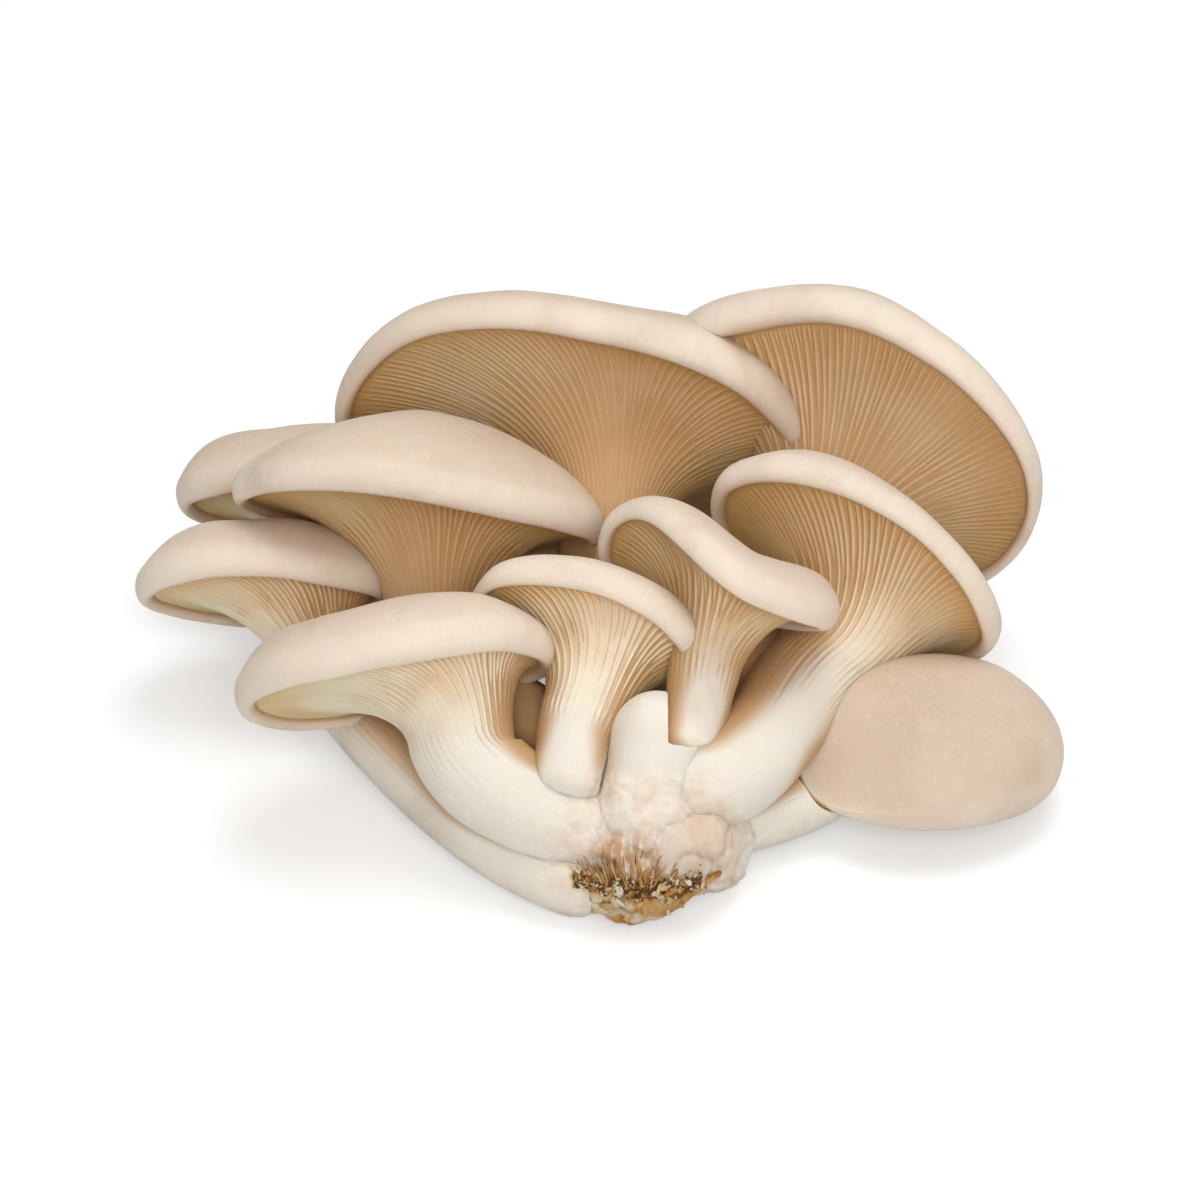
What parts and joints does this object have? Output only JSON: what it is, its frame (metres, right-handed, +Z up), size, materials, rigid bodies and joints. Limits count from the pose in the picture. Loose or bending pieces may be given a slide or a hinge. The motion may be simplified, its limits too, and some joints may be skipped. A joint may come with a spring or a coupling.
{
  "type": "oyster mushroom cluster",
  "caption": "Cluster of fan-shaped oyster mushrooms with gilled undersides, grown from one white butt with a brown substrate crust, lying on its side.",
  "frame": {"origin": "the flat spot under the butt, on the surface that the cluster lies on", "axes": "+Z up, +Y from the butt towards the two back caps, +X to the right across the cluster, its longest side"},
  "size_m": [0.183, 0.1457, 0.0763],
  "materials": {
    "mushroom_flesh": "matt, soft flesh, beige caps with paler stems",
    "stem_flesh": "matt, soft white flesh",
    "butt_flesh": "matt, felted white mycelium",
    "substrate": "rough brown crumbs of straw and sawdust"
  },
  "bodies": {
    "root": {"butt": "butt_flesh", "cut_stub": "stem_flesh", "mushroom_front_left": "mushroom_flesh", "mushroom_front_centre": "mushroom_flesh", "mushroom_mid_right": "mushroom_flesh", "mushroom_mid_centre": "mushroom_flesh", "mushroom_low_right": "mushroom_flesh", "mushroom_upper_left": "mushroom_flesh", "mushroom_back_centre": "mushroom_flesh", "mushroom_back_right": "mushroom_flesh", "mushroom_low_left": "mushroom_flesh", "mushroom_rear_left": "mushroom_flesh", "substrate_crust": "substrate"}
  },
  "joints": []
}
